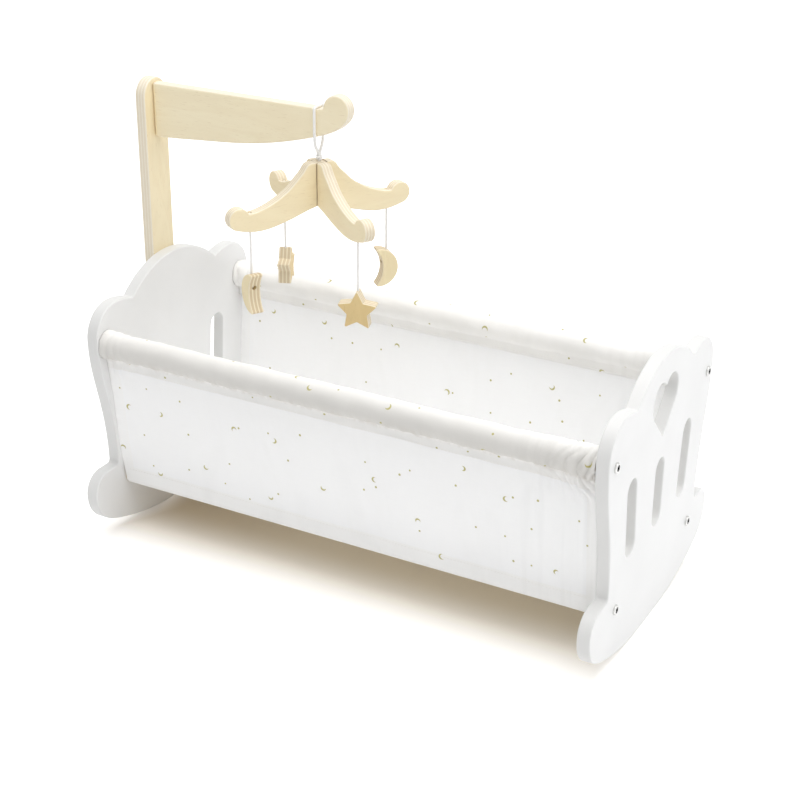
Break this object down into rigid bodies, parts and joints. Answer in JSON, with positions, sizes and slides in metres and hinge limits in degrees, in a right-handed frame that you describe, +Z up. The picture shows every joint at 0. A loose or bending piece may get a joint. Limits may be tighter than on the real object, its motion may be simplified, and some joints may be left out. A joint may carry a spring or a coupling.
{
  "type": "doll cradle",
  "caption": "Rocking doll cradle: two white end panels with rounded rocker feet, a fabric bed slung on dowels, and a plywood arm with a hanging moon and star mobile.",
  "frame": {"origin": "On the floor, under the middle of the cradle's overall box, on the flat middle of the rockers.", "axes": "+X runs from the mobile's post to the other end, +Y from front to back, +Z up."},
  "size_m": [0.523, 0.279, 0.4285],
  "materials": {
    "panel_paint": "white satin paint on fibreboard",
    "dowel": "bare beech",
    "insert": "plain",
    "bolt": "nickel plated, sockets dark",
    "screw": "zinc plated",
    "cloth": "white cotton with small gold print",
    "plywood": "clear lacquered birch plywood",
    "moon_ply": "clear lacquered birch plywood",
    "star_ply": "golden stained birch plywood",
    "cord": "white cotton cord"
  },
  "bodies": {
    "cradle": {"end_panel_left": "panel_paint", "end_panel_right": "panel_paint", "top_rail_front": "dowel", "top_rail_back": "dowel", "low_rail_front": "dowel", "low_rail_back": "dowel", "rail_inserts_left": "insert", "rail_inserts_right": "insert", "rail_bolts_left": "bolt", "rail_bolts_right": "bolt", "panel_screws": "screw", "arm_screws": "screw", "fabric_side_front": "cloth", "fabric_side_back": "cloth", "fabric_floor": "cloth", "post": "plywood", "mobile_arm": "plywood"},
    "loop": {"hang_loop": "cord"},
    "hanger": {"hang_knot": "cord"},
    "mobile": {"mobile_board_long": "plywood", "mobile_board_cross": "plywood", "string_knots": "cord"},
    "left_moon_cord": {"left_moon_string": "cord"},
    "left_moon": {"left_moon": "moon_ply", "left_moon_knot": "cord"},
    "right_moon_cord": {"right_moon_string": "cord"},
    "right_moon": {"right_moon": "moon_ply", "right_moon_knot": "cord"},
    "front_star_cord": {"front_star_string": "cord"},
    "front_star": {"front_star": "star_ply", "front_star_knot": "cord"},
    "back_star_cord": {"back_star_string": "cord"},
    "back_star": {"back_star": "star_ply", "back_star_knot": "cord"}
  },
  "joints": [
    {"name": "loop_swing", "type": "hinge", "parent": "cradle", "child": "loop", "pos_m": [-0.0755, 0, 0.4159], "axis": [0, 1, 0], "range_deg": [-15, 15]},
    {"name": "mobile_sway", "type": "hinge", "parent": "loop", "child": "hanger", "pos_m": [-0.0755, 0, 0.3701], "axis": [1, 0, 0], "range_deg": [-10, 10]},
    {"name": "mobile_spin", "type": "hinge", "parent": "hanger", "child": "mobile", "pos_m": [-0.0755, 0, 0.3701], "axis": [0, 0, 1], "continuous": true},
    {"name": "left_moon_swing", "type": "hinge", "parent": "mobile", "child": "left_moon_cord", "pos_m": [-0.11042, -0.05951, 0.3132], "axis": [0.8625, -0.506, 0], "range_deg": [-30, 30]},
    {"name": "left_moon_twist", "type": "hinge", "parent": "left_moon_cord", "child": "left_moon", "pos_m": [-0.11042, -0.05951, 0.2576], "axis": [0, 0, 1], "continuous": true},
    {"name": "right_moon_swing", "type": "hinge", "parent": "mobile", "child": "right_moon_cord", "pos_m": [-0.04058, 0.05951, 0.3132], "axis": [-0.8625, 0.506, 0], "range_deg": [-30, 30]},
    {"name": "right_moon_twist", "type": "hinge", "parent": "right_moon_cord", "child": "right_moon", "pos_m": [-0.04058, 0.05951, 0.2567], "axis": [0, 0, 1], "continuous": true},
    {"name": "front_star_swing", "type": "hinge", "parent": "mobile", "child": "front_star_cord", "pos_m": [-0.01599, -0.03492, 0.3132], "axis": [0.506, 0.8625, 0], "range_deg": [-30, 30]},
    {"name": "front_star_twist", "type": "hinge", "parent": "front_star_cord", "child": "front_star", "pos_m": [-0.01599, -0.03492, 0.25], "axis": [0, 0, 1], "continuous": true},
    {"name": "back_star_swing", "type": "hinge", "parent": "mobile", "child": "back_star_cord", "pos_m": [-0.13501, 0.03492, 0.3132], "axis": [-0.506, -0.8625, 0], "range_deg": [-30, 30]},
    {"name": "back_star_twist", "type": "hinge", "parent": "back_star_cord", "child": "back_star", "pos_m": [-0.13501, 0.03492, 0.2477], "axis": [0, 0, 1], "continuous": true}
  ]
}
